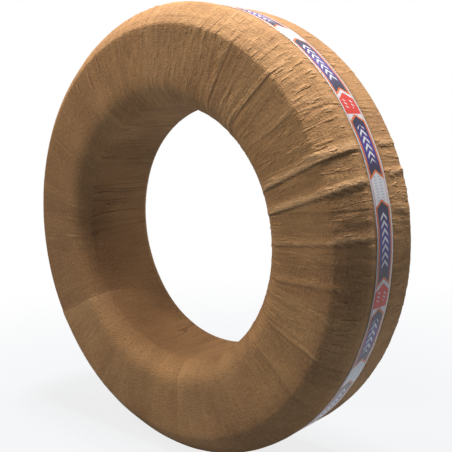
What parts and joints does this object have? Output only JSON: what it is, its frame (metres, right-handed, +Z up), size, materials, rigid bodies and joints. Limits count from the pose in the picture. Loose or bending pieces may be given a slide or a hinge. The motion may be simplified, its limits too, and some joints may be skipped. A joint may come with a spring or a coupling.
{
  "type": "multilayer pipe coil",
  "caption": "Ring-shaped coil of multilayer pipe standing on its tread, fully wrapped in brown crepe paper, with a wide open bore and one band of printed tape.",
  "frame": {"origin": "lowest line of the tread, at the middle of the coil's width, where the coil stands on the floor", "axes": "+Z up, Y along the coil's axis, X the way it would roll"},
  "size_m": [0.8, 0.192, 0.8],
  "materials": {
    "pipe": "smooth white polyethylene, hidden under the wrap",
    "crepe_paper": "matt brown crepe kraft paper with puckers and creases",
    "printed_tape": "glossy film tape with a repeating violet, white and red print"
  },
  "bodies": {
    "root": {"pipe_windings": "pipe", "crepe_paper_wrap": "crepe_paper", "printed_tape": "printed_tape"}
  },
  "joints": []
}
